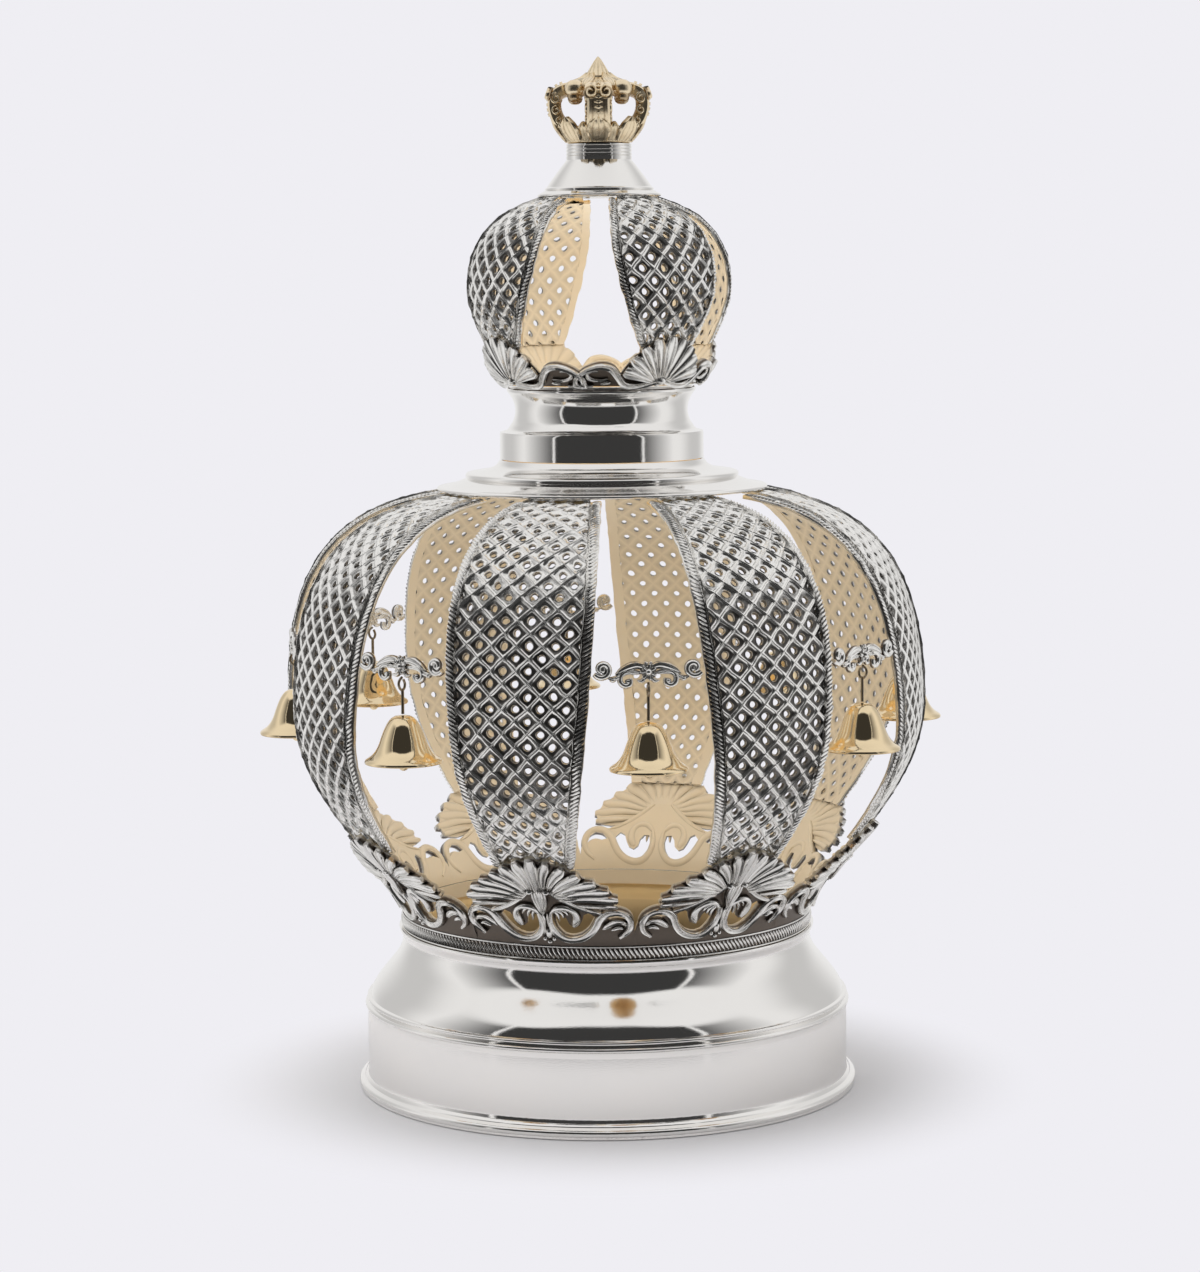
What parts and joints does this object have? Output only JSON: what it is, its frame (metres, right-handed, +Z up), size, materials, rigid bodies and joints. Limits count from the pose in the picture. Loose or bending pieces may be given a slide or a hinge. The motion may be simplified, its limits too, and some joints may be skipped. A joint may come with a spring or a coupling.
{
  "type": "torah crown",
  "caption": "Openwork silver crown for a Torah scroll: hollow foot, pierced ribbed dome hung with gilt bells, stepped neck, small second dome and gilt finial.",
  "frame": {"origin": "centre of the foot's underside, on the surface the crown stands on", "axes": "+Z up along the crown's axis, -Y towards the front rib, +X to the right seen from the front"},
  "size_m": [0.2658, 0.2658, 0.4278],
  "materials": {
    "polished_silver": "mirror polish",
    "dark_silver": "bright relief on oxidised ground, matt gilt inside",
    "gold": "polished gilt",
    "bronze_wire": "dark"
  },
  "bodies": {
    "root": {"foot": "polished_silver", "rope_band": "dark_silver", "gallery": "dark_silver", "rib_1": "dark_silver", "rib_2": "dark_silver", "rib_3": "dark_silver", "rib_4": "dark_silver", "rib_5": "dark_silver", "rib_6": "dark_silver", "rib_7": "dark_silver", "rib_8": "dark_silver", "link_1": "dark_silver", "hook_1": "bronze_wire", "bell_1": "gold", "clapper_1": "gold", "link_2": "dark_silver", "hook_2": "bronze_wire", "bell_2": "gold", "clapper_2": "gold", "link_3": "dark_silver", "hook_3": "bronze_wire", "bell_3": "gold", "clapper_3": "gold", "link_4": "dark_silver", "hook_4": "bronze_wire", "bell_4": "gold", "clapper_4": "gold", "link_5": "dark_silver", "hook_5": "bronze_wire", "bell_5": "gold", "clapper_5": "gold", "link_6": "dark_silver", "hook_6": "bronze_wire", "bell_6": "gold", "clapper_6": "gold", "link_7": "dark_silver", "hook_7": "bronze_wire", "bell_7": "gold", "clapper_7": "gold", "link_8": "dark_silver", "hook_8": "bronze_wire", "bell_8": "gold", "clapper_8": "gold", "shoulder": "polished_silver", "neck": "polished_silver", "upper_gallery": "dark_silver", "upper_rib_1": "dark_silver", "upper_rib_2": "dark_silver", "upper_rib_3": "dark_silver", "upper_rib_4": "dark_silver", "cap": "polished_silver", "finial": "gold"}
  },
  "joints": []
}
